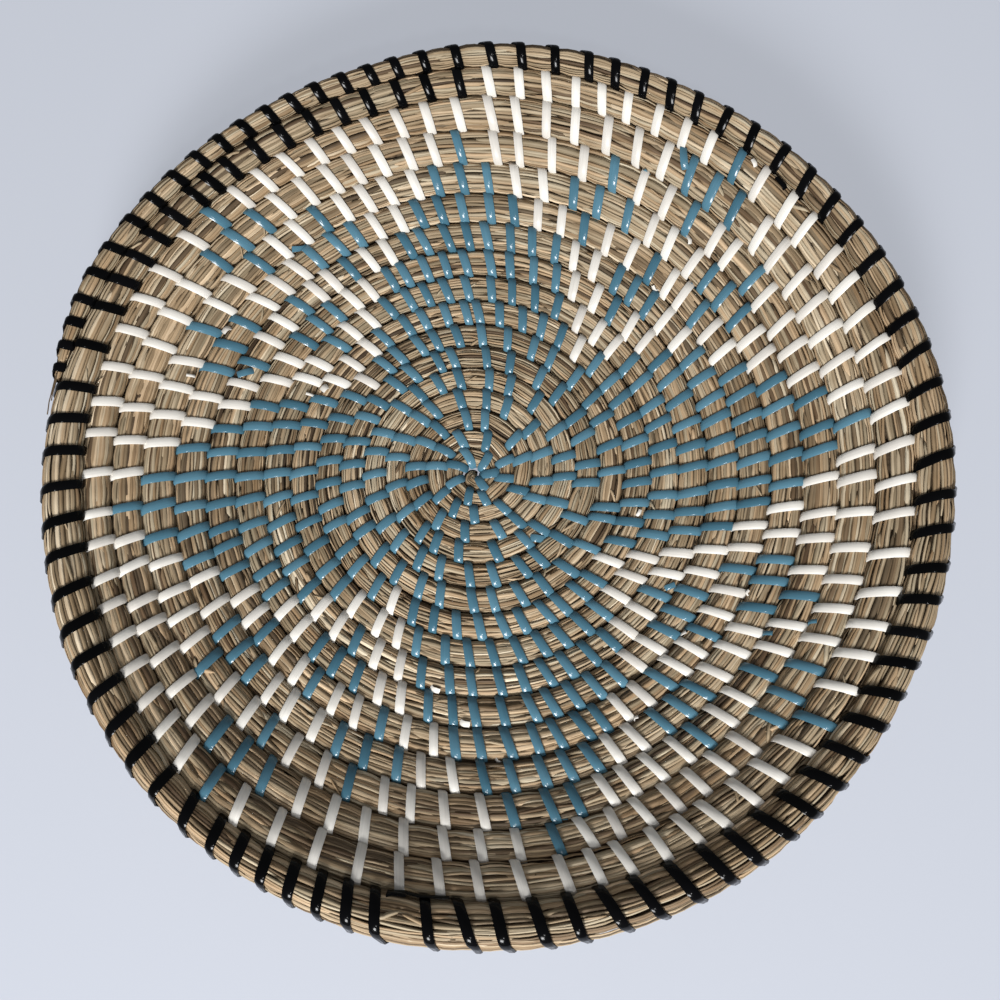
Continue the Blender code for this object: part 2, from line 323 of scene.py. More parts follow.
def star_row(row, letters):
    """One row's stitches round the four quarters: turns left before the loose end, and letter."""
    diagonals = [np.interp(row, DIAGONAL_ROWS, angles) for angles in DIAGONALS]
    diagonals.append(diagonals[0] + 360)
    petals = [np.interp(row, PETAL_ROWS, angles) for angles in PETALS]
    half = len(letters) / 2
    stitches = []
    for quarter, petal in enumerate(petals):
        for index, letter in enumerate(letters):
            if index >= half:
                share = index / half - 1
                angle = petal + (diagonals[quarter + 1] - petal) * share
                stitches.append((angle, letter))
        first_half = FIRST_HALVES.get(row, half) if quarter == 0 else half
        for index in range(math.ceil(first_half)):
            letter = letters[min(index, math.ceil(half) - 1)]
            angle = diagonals[quarter] + (petal - diagonals[quarter]) * index / first_half
            # A row starts and ends at the first quarter's middle.
            stitches.append((angle + (360 if quarter == 0 else 0), letter))
    end_angle = math.degrees(COIL_END_ANGLE)
    return [(row + 1 + (end_angle - angle) / 360, letter) for angle, letter in stitches]


def stitch_plan():
    """Every stitch in order from the middle outwards: how far along the coil, and its strap."""
    plan = []
    lashing_count = LASHING_MARKS[-1][0]
    for index in range(lashing_count + 1):
        plan.append((COIL_TURNS - read_table(index, LASHING_MARKS), "black"))
    for row, letters in enumerate(STAR_ROWS, start=1):
        for left, letter in star_row(row, letters):
            plan.append((COIL_TURNS - left, "blue" if letter == "B" else "white"))
    left = LASHING_MARKS[0][1] + len(STAR_ROWS)
    for count in BLUE_ROW_COUNTS:
        for index in range(count):
            plan.append((COIL_TURNS - left - (index + 0.5) / count, "blue"))
        left += 1
    for index in range(CENTRE_STITCHES):
        plan.append(((COIL_TURNS - left) * (1 - (index + 0.5) / CENTRE_STITCHES), "blue"))
    return sorted(plan)


def uneven(plan):
    """The stitches a little off their even places, as a hand sets them."""
    places = np.array([turned for turned, _ in plan])
    steps = np.diff(places, prepend=places[0] - FIRST_ROOM, append=places[-1] + LAST_ROOM)
    spread = np.where(places < COIL_TURNS - STAR_END, LOOSE_SPREAD, STAR_SPREAD)
    lashed = places > COIL_TURNS - LASHING_MARKS[0][1] - TURN_HAIR
    spread = np.where(lashed, LASHING_SPREAD, spread)
    room = np.minimum(steps[:-1], steps[1:])
    strays = np.clip(rng.normal(0, 1, len(places)), -MOST_SPREADS, MOST_SPREADS)
    places = places + strays * spread * room
    return [(turned, strap) for turned, (_, strap) in zip(places, plan)]


PLAN = uneven(stitch_plan())
STITCHES = np.array([turned for turned, _ in PLAN])
FENCE = np.concatenate((CURL_FENCE, STITCHES, [COIL_TURNS + TURN_HAIR]))


def section_outline():
    """The bundle's outline as a share of its half sizes, for even steps round it."""
    angle = np.linspace(0, math.tau, SECTION_SAMPLES)
    across = np.sign(np.cos(angle)) * np.abs(np.cos(angle)) ** (2 / SECTION_FULLNESS)
    upward = np.sign(np.sin(angle)) * np.abs(np.sin(angle)) ** (2 / SECTION_FULLNESS)
    passed = np.concatenate(([0], np.cumsum(np.hypot(np.diff(across), np.diff(upward)))))
    even = np.linspace(0, passed[-1], SECTION_SAMPLES)
    return angle, np.interp(even, passed, across), np.interp(even, passed, upward)


SECTION = section_outline()


def bundle_at(turned, around):
    """The bundle's columns beside a point on it, pinched at the stitches and straighter between.

    turned counts along the coil as the leaning stitches do, so a stitch keeps one value of it
    from the bundle's inner side to its outer side.
    """
    over = np.abs((around + math.pi) % math.tau - math.pi) / math.pi
    reach = read_course(turned)[..., REACH]
    columns = read_course(turned + reach * (0.5 - over))
    after = np.clip(np.searchsorted(FENCE, turned, side="right"), 1, len(FENCE) - 1)
    near = FENCE[after - 1]
    far = FENCE[after]
    share = np.clip((turned - near) / (far - near), 0, 1)
    middle = read_course(turned)[..., CENTRE]
    start = read_course(near)[..., CENTRE]
    end = read_course(far)[..., CENTRE]
    chord = start + (end - start) * share[..., None]
    columns[..., CENTRE] += (chord - middle) * CHORD_SHARE * ((share > 0) & (share < 1))[..., None]
    beside = np.minimum(turned - near, far - turned) * columns[..., LENGTH]
    risen = np.clip((beside - PINCH_FLAT) / PINCH_RISE, 0, 1)
    pinched = 1 - risen * risen * (3 - 2 * risen)
    pinch = 1 - read_table(columns[..., HALF_WIDTH], PINCH_SHARES) * pinched
    columns[..., HALF_WIDTH] *= pinch
    columns[..., HALF_HEIGHT] *= pinch
    return columns


def over_bundle(turned, around, height):
    """Points and outward normals over the bundle's surface.

    around is 0 on the bundle's outer side and a quarter turn on top.
    """
    columns = bundle_at(turned, around)
    centre = columns[..., CENTRE]
    outward = columns[..., OUTWARD]
    up = columns[..., UP]
    half_width = columns[..., HALF_WIDTH]
    half_height = columns[..., HALF_HEIGHT]
    even, section_across, section_upward = SECTION
    cosine = np.interp(around % math.tau, even, section_across)
    sine = np.interp(around % math.tau, even, section_upward)
    normal_out = np.sign(cosine) * np.abs(cosine) ** (SECTION_FULLNESS - 1) / half_width
    normal_up = np.sign(sine) * np.abs(sine) ** (SECTION_FULLNESS - 1) / half_height
    length = np.hypot(normal_out, normal_up)
    normal_out /= length
    normal_up /= length
    across = (half_width * cosine + height * normal_out)[..., None]
    upward = (half_height * sine + height * normal_up)[..., None]
    points = centre + outward * across + up * upward
    normals = outward * normal_out[..., None] + up * normal_up[..., None]
    return points, normals


# Pieces made once and copied.

def finished_template(name):
    """The active object's points and faces, once it is shaped. The object is then removed."""
    template = bpy.context.object
    template.name = name
    mesh = template.data
    points = np.array([vertex.co for vertex in mesh.vertices])
    faces = [tuple(face.vertices) for face in mesh.polygons]
    bpy.data.objects.remove(template)
    return points, faces


def swept(template_points, path, normals, half, thick):
    """A standing template's points moved along a path, with half widths and one thickness."""
    _, level_of = np.unique(np.round(template_points[:, 2], 5), return_inverse=True)
    along = np.gradient(path, axis=0)
    along /= np.linalg.norm(along, axis=1)[:, None]
    side = np.cross(along, normals)
    side /= np.linalg.norm(side, axis=1)[:, None]
    face = np.cross(side, along)
    points = path[level_of] + side[level_of] * (template_points[:, 0] * half[level_of])[:, None]
    return points + face[level_of] * (template_points[:, 1] * thick)[:, None]


def select_in_edit(edges=None, points=None):
    """In edit mode, selects only the edges or points that the given test picks."""
    shape = bmesh.from_edit_mesh(bpy.context.object.data)
    for part in (*shape.faces, *shape.edges, *shape.verts):
        part.select = False
    if edges:
        for edge in filter(edges, shape.edges):
            edge.select = True
    if points:
        for point in filter(points, shape.verts):
            point.select = True
        shape.select_flush_mode()
    bmesh.update_edit_mesh(bpy.context.object.data)


def model_straw(steps):
    """A four-sided straw, one long and standing, cut across into steps."""
    bpy.ops.mesh.primitive_cylinder_add(vertices=4, radius=1, depth=1, end_fill_type="NGON",
                                        location=(0, 0, 0.5))
    bpy.ops.object.transform_apply(location=True, rotation=True, scale=True)
    bpy.ops.object.mode_set(mode="EDIT")
    bpy.ops.mesh.select_mode(type="EDGE")
    select_in_edit(edges=lambda edge: abs(edge.verts[0].co.z - edge.verts[1].co.z) > 0.5)
    bpy.ops.mesh.subdivide(number_cuts=steps - 1)
    bpy.ops.object.mode_set(mode="OBJECT")
    return finished_template("straw")


def model_strap(steps):
    """A flat strap with rounded shoulders, one long and standing: y is its thickness."""
    bpy.ops.mesh.primitive_cylinder_add(vertices=6, radius=1, depth=1, end_fill_type="NGON",
                                        location=(0, 0, 0.5), rotation=(0, 0, math.radians(30)))
    bpy.ops.object.transform_apply(location=True, rotation=True, scale=True)
    bpy.ops.object.mode_set(mode="EDIT")
    bpy.ops.mesh.select_mode(type="VERT")
    # The upper corners go a little up and apart, the side ones up to the shoulders, and the lower
    # ones up and far apart, to a flat underside.
    select_in_edit(points=lambda point: point.co.y > 0.7)
    bpy.ops.transform.resize(value=(1.1, 1, 1))
    bpy.ops.transform.translate(value=(0, 0.134, 0))
    select_in_edit(points=lambda point: abs(point.co.y) < 0.3)
    bpy.ops.transform.translate(value=(0, 0.48, 0))
    select_in_edit(points=lambda point: point.co.y < -0.7)
    bpy.ops.transform.resize(value=(1.9, 1, 1))
    bpy.ops.transform.translate(value=(0, 0.866, 0))
    bpy.ops.mesh.select_mode(type="EDGE")
    select_in_edit(edges=lambda edge: abs(edge.verts[0].co.z - edge.verts[1].co.z) > 0.5)
    bpy.ops.mesh.subdivide(number_cuts=steps - 1)
    bpy.ops.object.mode_set(mode="OBJECT")
    return finished_template("strap")


def add_piece(name, copies, material, sharp_angle=None):
    """One piece made of copies: each one's points, template's faces, lay coordinates and tone."""
    points, copied_faces, lays, tones = zip(*copies)
    counts = [len(copy_points) for copy_points in points]
    faces = []
    for template_faces, start in zip(copied_faces, np.cumsum([0, *counts]).tolist()):
        faces.extend(tuple(index + start for index in face) for face in template_faces)
    mesh = bpy.data.meshes.new(name)
    mesh.from_pydata(np.concatenate(points).tolist(), [], faces)
    vertex_of_loop = np.zeros(len(mesh.loops), int)
    mesh.loops.foreach_get("vertex_index", vertex_of_loop)
    lay = mesh.uv_layers.new(name="lay")
    lay.data.foreach_set("uv", np.concatenate(lays)[vertex_of_loop].ravel().astype(np.float32))
    tone = mesh.attributes.new("tone", "FLOAT", "POINT")
    tone.data.foreach_set("value", np.repeat(tones, counts).astype(np.float32))
    mesh.materials.append(material)
    mesh.shade_smooth()
    if sharp_angle:
        mesh.set_sharp_from_angle(angle=sharp_angle)
    piece = bpy.data.objects.new(name, mesh)
    bpy.context.scene.collection.objects.link(piece)
    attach(piece, "root")
    return piece


# Materials.

# Straws from the darkest to the palest, the darker lines along them, stains, and their warmth.
GRASS_TONES = (
    (0.0, (0.055, 0.036, 0.021)), (1.0, (0.86, 0.76, 0.60)), (0.16, (0.16, 0.114, 0.070)),
    (0.35, (0.33, 0.256, 0.166)), (0.6, (0.50, 0.406, 0.284)), (0.85, (0.66, 0.555, 0.410)),
)
GRASS_LINES = ((0.30, (0.42, 0.36, 0.30)), (0.62, (1.0, 1.0, 1.0)))
GRASS_STAINS = ((0.35, (0.78, 0.71, 0.62)), (0.62, (1.04, 1.03, 1.01)))
GRASS_WARMTH = ((0.35, (1.03, 0.93, 0.83)), (0.65, (0.93, 0.97, 0.98)))
# Painted shade: the dark colours of the bundle's inside, which stand for the shade between the
# straws.
CORE_SHADE_TONES = ((0.3, (0.045, 0.030, 0.018)), (0.7, (0.15, 0.105, 0.066)))
STRAP_LINES = ((0.3, (0.78, 0.78, 0.78)), (0.65, (1.0, 1.0, 1.0)))
# The scales of the lines along and across, and how far apart in the noise two tones lie.
GRASS_LINE_SCALES = (45, 2600)
STRAP_LINE_SCALES = (40, 1900)
TONES_APART = 50
# The colour sockets of a Mix node, among those for its other kinds of data.
MIX_FIRST, MIX_SECOND, MIX_RESULT = 6, 7, 2


def new_material(name):
    material = bpy.data.materials.new(name)
    material.use_nodes = True
    nodes = material.node_tree.nodes
    return material, nodes, material.node_tree.links, nodes["Principled BSDF"]


def set_inputs(node, values):
    for name, value in values.items():
        node.inputs[name].default_value = value


def streaks_group():
    """Fine lines that run along a straw or strap, from its lay coordinates."""
    group = bpy.data.node_groups.new("lengthwise_streaks", "ShaderNodeTree")
    face = group.interface
    for name in ("Along scale", "Across scale", "Tone"):
        face.new_socket(name, in_out="INPUT", socket_type="NodeSocketFloat")
    face.new_socket("Streak", in_out="OUTPUT", socket_type="NodeSocketFloat")
    nodes = group.nodes
    links = group.links
    given = nodes.new("NodeGroupInput")
    result = nodes.new("NodeGroupOutput")
    lay = nodes.new("ShaderNodeUVMap")
    lay.uv_map = "lay"
    scale = nodes.new("ShaderNodeCombineXYZ")
    links.new(given.outputs["Along scale"], scale.inputs["X"])
    links.new(given.outputs["Across scale"], scale.inputs["Y"])
    stretched = nodes.new("ShaderNodeVectorMath")
    stretched.operation = "MULTIPLY"
    links.new(lay.outputs["UV"], stretched.inputs[0])
    links.new(scale.outputs["Vector"], stretched.inputs[1])
    apart = nodes.new("ShaderNodeCombineXYZ")
    links.new(given.outputs["Tone"], apart.inputs["Z"])
    spread = nodes.new("ShaderNodeVectorMath")
    spread.operation = "MULTIPLY_ADD"
    spread.inputs[1].default_value = (0, 0, TONES_APART)
    links.new(apart.outputs["Vector"], spread.inputs[0])
    links.new(stretched.outputs["Vector"], spread.inputs[2])
    noise = nodes.new("ShaderNodeTexNoise")
    set_inputs(noise, {"Scale": 1, "Detail": 3, "Roughness": 0.6})
    links.new(spread.outputs["Vector"], noise.inputs["Vector"])
    links.new(noise.outputs["Fac"], result.inputs["Streak"])
    return group


STREAKS = streaks_group()


def point_tone(nodes):
    tone = nodes.new("ShaderNodeAttribute")
    tone.attribute_name = "tone"
    return tone.outputs["Fac"]


def placed_streaks(nodes, links, scales, tone):
    streaks = nodes.new("ShaderNodeGroup")
    streaks.node_tree = STREAKS
    set_inputs(streaks, {"Along scale": scales[0], "Across scale": scales[1]})
    links.new(tone, streaks.inputs["Tone"])
    return streaks.outputs["Streak"]


def object_noise(nodes, links, values):
    place = nodes.new("ShaderNodeTexCoord")
    noise = nodes.new("ShaderNodeTexNoise")
    set_inputs(noise, values)
    links.new(place.outputs["Object"], noise.inputs["Vector"])
    return noise.outputs["Fac"]


def ramp_colour(nodes, links, source, stops):
    """The colour from a ramp through the stops. Its two ends are the first two of them."""
    ramp = nodes.new("ShaderNodeValToRGB")
    elements = ramp.color_ramp.elements
    for index, (place, colour) in enumerate(stops):
        element = elements[index] if index < 2 else elements.new(place)
        element.position = place
        element.color = (*colour, 1)
    links.new(source, ramp.inputs["Fac"])
    return ramp.outputs["Color"]


def tinted(nodes, links, colour, source, stops, share):
    """A colour multiplied by that of a ramp, as far as the share says."""
    mix = nodes.new("ShaderNodeMix")
    mix.data_type = "RGBA"
    mix.blend_type = "MULTIPLY"
    mix.inputs["Factor"].default_value = share
    links.new(colour, mix.inputs[MIX_FIRST])
    links.new(ramp_colour(nodes, links, source, stops), mix.inputs[MIX_SECOND])
    return mix.outputs[MIX_RESULT]


def lined_surface(nodes, links, streak, roughness, strength, distance, shader):
    """Roughness from the first value to the second on the lines, and a bump along them."""
    rough = nodes.new("ShaderNodeMapRange")
    set_inputs(rough, {"To Min": roughness[0], "To Max": roughness[1]})
    links.new(streak, rough.inputs["Value"])
    links.new(rough.outputs["Result"], shader.inputs["Roughness"])
    bump = nodes.new("ShaderNodeBump")
    set_inputs(bump, {"Strength": strength, "Distance": distance})
    links.new(streak, bump.inputs["Height"])
    links.new(bump.outputs["Normal"], shader.inputs["Normal"])


def dry_grass_material():
    """Dry stems: each has its own tone and warmth, with fine lines along it and faint stains."""
    material, nodes, links, shader = new_material("dry_grass_straws")
    tone = point_tone(nodes)
    streak = placed_streaks(nodes, links, GRASS_LINE_SCALES, tone)
    stains = object_noise(nodes, links, {"Scale": 55, "Detail": 3})
    warmth = nodes.new("ShaderNodeTexNoise")
    warmth.noise_dimensions = "1D"
    set_inputs(warmth, {"Scale": 40, "Detail": 0})
    links.new(tone, warmth.inputs["W"])
    colour = ramp_colour(nodes, links, tone, GRASS_TONES)
    colour = tinted(nodes, links, colour, streak, GRASS_LINES, 0.75)
    colour = tinted(nodes, links, colour, stains, GRASS_STAINS, 0.8)
    colour = tinted(nodes, links, colour, warmth.outputs["Fac"], GRASS_WARMTH, 1.0)
    links.new(colour, shader.inputs["Base Color"])
    set_inputs(shader, {"Specular IOR Level": 0.3})
    lined_surface(nodes, links, streak, (0.75, 0.5), 0.5, 0.0002, shader)
    return material


def bundle_shade_core_material():
    """The bundle's inside in dark colours, seen only between straws: painted shade."""
    material, nodes, links, shader = new_material("bundle_inside_painted_shade")
    fibres = object_noise(nodes, links, {"Scale": 700})
    links.new(ramp_colour(nodes, links, fibres, CORE_SHADE_TONES), shader.inputs["Base Color"])
    set_inputs(shader, {"Roughness": 0.9, "Specular IOR Level": 0.1})
    return material


def strap_material(name, dark, light, roughness, specular, line_strength):
    """Flat plastic strap: a tone of its own for each stitch and faint drawn lines."""
    material, nodes, links, shader = new_material(name)
    tone = point_tone(nodes)
    streak = placed_streaks(nodes, links, STRAP_LINE_SCALES, tone)
    colour = ramp_colour(nodes, links, tone, ((0.0, dark), (1.0, light)))
    colour = tinted(nodes, links, colour, streak, STRAP_LINES, line_strength)
    links.new(colour, shader.inputs["Base Color"])
    set_inputs(shader, {"Specular IOR Level": specular})
    lined_surface(nodes, links, streak, (roughness * 0.8, roughness * 1.25), 0.03, 0.0001, shader)
    return material


GRASS = dry_grass_material()
CORE_SHADE_MATERIAL = bundle_shade_core_material()
STRAPS = {
    "black": strap_material(
        "black_strap_gloss", dark=(0.0005, 0.0005, 0.0006), light=(0.002, 0.002, 0.0025),
        roughness=0.15, specular=0.11, line_strength=0.2),
    "white": strap_material(
        "white_strap_matt", dark=(0.63, 0.59, 0.535), light=(0.79, 0.76, 0.70),
        roughness=0.38, specular=0.35, line_strength=0.5),
    "blue": strap_material(
        "blue_strap_gloss", dark=(0.040, 0.117, 0.166), light=(0.090, 0.206, 0.276),
        roughness=0.19, specular=0.33, line_strength=0.5),
}


# The grass.

def stitch_place(index):
    """Places along the coil for whole and part stitch numbers, counted from the middle."""
    return np.interp(index, np.arange(len(FENCE)), FENCE)


def lay_turn(name, first, last):
    """The straws of one turn, from one stitch to another, in lanes round the bundle."""
    middle = read_course(stitch_place((first + last) / 2))
    mean_half = math.sqrt((middle[HALF_WIDTH] ** 2 + middle[HALF_HEIGHT] ** 2) / 2)
    girth = math.tau * mean_half * SECTION_GIRTH_SHARE
    spacing = read_table(middle[HALF_WIDTH], STRAW_SPACINGS)
    broad = read_table(middle[HALF_WIDTH], STRAW_BROADENING)
    lanes = round(girth / spacing)
    copies = []
    for lane in range(lanes):
        # Straws bend beside the stitches and run straight under them.
        place = first - rng.integers(0, STRAW_STARTS) / STRAW_STEPS + 0.5 / STRAW_STEPS
        while place < last:
            run = int(rng.choice(STRAW_RUNS))
            template_points, template_faces = STRAW_TEMPLATES[run]
            share = template_points[:, 2]
            steps = run * STRAW_STEPS
            at = np.minimum(place + share * run, len(FENCE) - 1 - rng.uniform(0, STRAW_SHORTFALL))
            turned = stitch_place(at)
            kind = rng.choice(len(STRAW_WIDTHS), p=STRAW_WIDTH_CHANCES)
            slant = rng.normal(0, STRAW_SLANT)
            aims = rng.normal(0, STRAW_STRAYING, run + 2)
            aimed = np.interp(at, math.floor(place) + np.arange(run + 2), aims)
            angle = math.tau * (lane + 0.5 + aimed + slant * (share - 0.5)) / lanes
            end = np.clip(np.minimum(share, 1 - share) * steps / STRAW_END_STEPS, 0, 1)
            half = spacing / 2 * STRAW_WIDTHS[kind] * broad * rng.uniform(*STRAW_EVENNESS)
            thick = min(half * rng.uniform(*STRAW_FLATNESS), STRAW_THICKEST)
            height = -thick + rng.uniform(*STRAW_HEIGHTS) * MM - STRAW_END_DEPTH * (1 - end)
            # Some straws stand out a little between the stitches.
            height = height + rng.uniform(*STRAW_STANDS) * MM * np.sin(math.pi * at) ** 2
            taper = STRAW_END_WIDTH + (1 - STRAW_END_WIDTH) * end
            aside = template_points[:, 0] * half * taper
            raised = template_points[:, 1] * thick * taper
            columns = read_course(turned)
            radius = girth / math.tau * columns[:, HALF_WIDTH] / middle[HALF_WIDTH]
            points, _ = over_bundle(turned, angle + aside / radius, height + raised)
            points[:, 2] = np.maximum(points[:, 2], GROUND_REST)
            tone = np.clip(STRAW_TONES[kind] + rng.normal(0, STRAW_TONE_SPREAD), 0.02, 1)
            if rng.random() < DARK_STRAW_CHANCE:
                tone *= DARK_STRAW_SHARE
            lay = np.column_stack((share * run * STRAW_LAY + tone, aside + raised * 0.5))
            copies.append((points, template_faces, lay, tone))
            place += run - rng.integers(0, STRAW_OVERLAPS) / STRAW_STEPS
    piece = add_piece(name, copies, GRASS)
    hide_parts("grass_coil")


def lay_core():
    """The bundle's inside, coloured dark as painted shade. It meets the turns beside it, so no gap
    shows there.
    """
    turned = np.linspace(*CORE_ENDS, round(COIL_TURNS * CORE_RINGS_PER_TURN))
    around = np.arange(CORE_SIDES) * math.tau / CORE_SIDES
    grid_turned, grid_around = np.meshgrid(turned, around, indexing="ij")
    columns = read_course(grid_turned)
    half_width = columns[..., HALF_WIDTH]
    narrow = half_width - CORE_DEPTH
    has_neighbour = (grid_turned < LAST_TURN) | (np.cos(grid_around) < 0)
    across = np.where(has_neighbour, half_width, narrow) * np.cos(grid_around)
    upward = (columns[..., HALF_HEIGHT] - CORE_DEPTH) * np.sin(grid_around)
    points = columns[..., CENTRE] + columns[..., OUTWARD] * across[..., None]
    points = points + columns[..., UP] * upward[..., None]
    points[..., 2] = np.maximum(points[..., 2], CORE_REST)
    faces = []
    last_ring = (len(turned) - 1) * CORE_SIDES
    for start in range(0, last_ring, CORE_SIDES):
        for side in range(CORE_SIDES):
            here = start + side
            after = start + (side + 1) % CORE_SIDES
            faces.append((here, after, after + CORE_SIDES, here + CORE_SIDES))
    faces.append(tuple(reversed(range(CORE_SIDES))))
    faces.append(tuple(range(last_ring, last_ring + CORE_SIDES)))
    mesh = bpy.data.meshes.new("bundle_inside_painted_shade")
    mesh.from_pydata(points.reshape(-1, 3).tolist(), [], faces)
    shape = bmesh.new()
    shape.from_mesh(mesh)
    bmesh.ops.recalc_face_normals(shape, faces=shape.faces)
    shape.to_mesh(mesh)
    shape.free()
    mesh.materials.append(CORE_SHADE_MATERIAL)
    mesh.shade_smooth()
    core = bpy.data.objects.new("bundle_inside_painted_shade", mesh)
    bpy.context.scene.collection.objects.link(core)
    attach(core, "root")
    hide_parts("grass_coil")


STRAW_TEMPLATES = {run: model_straw(run * STRAW_STEPS) for run in STRAW_RUNS}
inner_ends = [int(np.searchsorted(FENCE, turn)) for turn in range(1, math.ceil(COIL_TURNS))]
turn_ends = [0, *inner_ends, len(FENCE) - 1]
for turn, (first, last) in enumerate(zip(turn_ends, turn_ends[1:]), start=1):
    lay_turn(f"grass_turn_{turn:02d}", first, last)
lay_core()

# The stitches.

STRAP_POINTS, STRAP_FACES = model_strap(STRAP_STEPS)


def stitch_points(index, lean_share, width_share):
    """One stitch: in at the inner side, over the bundle, round the outer side and back below."""
    turned, _ = PLAN[index]
    following = PLAN[index + 1][0] if index + 1 < len(PLAN) else turned + LAST_STITCH_STEP
    share = STRAP_POINTS[:, 2]
    levels, level_of = np.unique(np.round(share, 5), return_inverse=True)
    passed = np.interp(levels, (0, STRAP_STEPS_OVER / STRAP_STEPS, 1), (0, 0.5, 1))
    around = math.pi * (1 - 2 * passed)
    under = np.clip(2 * passed - 1, 0, 1)
    over = np.clip(2 * passed, 0, 1)
    lean_change = lean_share * read_course(turned)[REACH]
    place = turned + (following - turned) * under + lean_change * (over - 0.5) * (1 - under)
    inner = np.clip(-np.cos(around), 0, 1) ** 3
    outer = np.exp(-((around - STAND_OFF_PLACE) / STAND_OFF_BREADTH) ** 2)
    height = STRAP_LIFT + STRAP_BITE * inner + STRAP_STAND_OFF * outer
    path, normals = over_bundle(place, around, height)
    path[:, 2] = np.maximum(path[:, 2], STRAP_PATH_REST)
    half = STRAP_WIDTH / 2 * width_share * read_table(over, STRAP_WIDTHS)
    points = swept(STRAP_POINTS, path, normals, half, STRAP_THICKNESS)
    points[:, 2] = np.maximum(points[:, 2], STRAP_REST)
    lay = np.column_stack((share * STRAP_LAY + index * STRAP_LAY_SHIFT,
                           STRAP_POINTS[:, 0] * half[level_of]))
    return points, lay


def lay_stitches(name, indices, strap, nodes):
    """The stitches of one row in one strap, as one piece."""
    copies = []
    for index in indices:
        wide = rng.uniform(*STRAP_EVENNESS)
        if strap == "black":
            wide *= read_table(COIL_TURNS - PLAN[index][0], BLACK_WIDTHS)
        points, lay = stitch_points(index, rng.normal(0, LEAN_SPREAD), wide)
        copies.append((points, STRAP_FACES, lay, rng.uniform(*STRAP_TONES)))
    piece = add_piece(name, copies, STRAPS[strap], STRAP_SHARP_ANGLE)
    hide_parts(*nodes)


BLACK_NODES = ["black_strap_1", "black_strap_2", "black_strap_3", "black_strap_4"]
WHITE_NODES = ["white_strap_1", "white_strap_2", "white_strap_3"]
BLUE_NODES = [f"blue_strap_{number}" for number in range(1, 10)]
NODES_OF = {"black": BLACK_NODES, "white": WHITE_NODES, "blue": BLUE_NODES}

rows = {}
for index, (turned, strap) in enumerate(PLAN):
    row = 0 if strap == "black" else math.ceil(COIL_TURNS - turned - LASHING_MARKS[0][1])
    rows.setdefault((strap, row), []).append(index)
for (strap, row), indices in rows.items():
    name = "lashing_black" if strap == "black" else f"stitches_{strap}_row_{row:02d}"
    lay_stitches(name, indices, strap, NODES_OF[strap])


# Cut tails and stray straws.

# Ends of strap that show between the turns: turns left, place across the bundle from -1 inside
# to 1 outside, length along it and run across it in mm, width in mm, and height in mm.
TAILS = {
    "white": (
        (7.739, 0.8, 2.8, 0.3, 2.1, 0.5), (6.723, 0.75, 2.9, 0.3, 2.1, 0.5),
        (5.046, 0.75, 2.6, 0.4, 2.2, 0.5), (9.055, 0.4, 2.4, 0.5, 2.3, 0.5),
        (5.710, 0.95, 1.4, 0.3, 1.4, 0.6), (4.701, 1.0, 1.5, 0.3, 1.3, 0.7),
        (2.690, -1.0, 1.4, 0.2, 1.2, 0.7), (5.575, -0.85, 2.4, 0.8, 1.4, 0.6),
        (4.539, -0.75, 1.4, 0.4, 1.3, 0.6), (4.627, -0.8, 1.5, 0.4, 1.3, 0.6),
        (1.578, -0.95, 1.6, 0.8, 1.2, 0.7), (4.019, -0.5, 0.3, 3.0, 1.0, 0.6),
        (8.037, -0.7, 0.3, 2.6, 1.0, 0.6), (4.329, 0.85, 2.2, 0.8, 1.5, 0.6),
        (5.335, -0.85, 1.8, 0.6, 1.5, 0.6), (9.510, 0.5, 1.8, 0.4, 1.2, 0.5),
        (1.338, 0.75, 1.8, 0.6, 1.5, 0.5),
    ),
    "blue": (
        (2.679, -0.95, 3.6, 0.4, 1.7, 0.6), (2.311, 0.55, 3.4, 4.2, 2.6, 1.2),
        (2.301, -0.95, 2.8, 1.0, 2.0, 0.6), (4.351, -0.95, 1.9, 0.6, 1.8, 0.6),
        (3.557, -0.65, 0.6, 3.4, 1.6, 0.5), (2.542, -0.65, 0.6, 3.0, 1.5, 0.5),
        (7.556, 0.6, 2.2, 1.6, 1.9, 0.6), (4.115, -0.8, 4.6, 1.8, 2.2, 0.7),
        (6.03, 0.2, 3.0, 4.0, 2.4, 0.5), (12.610, 0.6, 2.6, 3.0, 2.6, 0.8),
    ),
    "black": (
        (1.343, 0.8, 4.6, 0.3, 1.9, 0.94), (0.739, -0.74, 20.0, -0.6, 1.9, 1.0),
        (0.747, -0.55, 6.0, -0.5, 1.6, 1.0),
    ),
}
# Straws that stand out of the bundle: turns left, length in mm, places across it at both ends,
# width and height in mm. The first two, with a length below zero, trail past the loose end.
STRAYS = (
    (0.006, -13.0, 0.3, 1.0, 0.9, -0.3), (0.004, -16.0, 0.9, 1.0, 0.7, -0.1),
    (3.866, 6.0, 0.9, 0.1, 1.7, 0.45), (3.870, 5.0, 0.6, 0.9, 1.4, 0.5),
    (3.852, 6.0, 0.3, 0.9, 1.6, 0.4), (2.590, 7.0, 0.9, 0.3, 1.6, 0.4),
    (2.587, 6.0, 0.5, 0.9, 1.4, 0.5), (12.58, 7.0, 0.5, 1.0, 0.9, 0.5),
    (11.59, 8.0, 0.9, 0.2, 1.1, 0.4), (11.55, 9.0, -0.3, 0.6, 1.2, 0.35),
    (2.55, 10.0, 0.9, 0.4, 1.7, 0.35), (2.33, 6.0, 0.2, 0.7, 1.6, 0.35),
    (1.36, 8.0, 0.9, 0.3, 1.5, 0.35), (0.75, 8.0, 0.7, 0.1, 1.5, 0.35),
    (0.74, 9.0, 0.2, 0.6, 1.4, 0.35), (1.19, 10.0, 0.3, -0.2, 1.4, 0.3),
    (0.55, 9.0, -0.8, -0.4, 1.6, 0.3),
)
# A tail raised more than this may lie over a stitch.
STITCH_COVER = 0.95 * MM
TAIL_STEPS = 4
TAIL_THICKNESS = 0.5 * MM
TAIL_LAY = 3 * MM
TAIL_TONE = 0.6
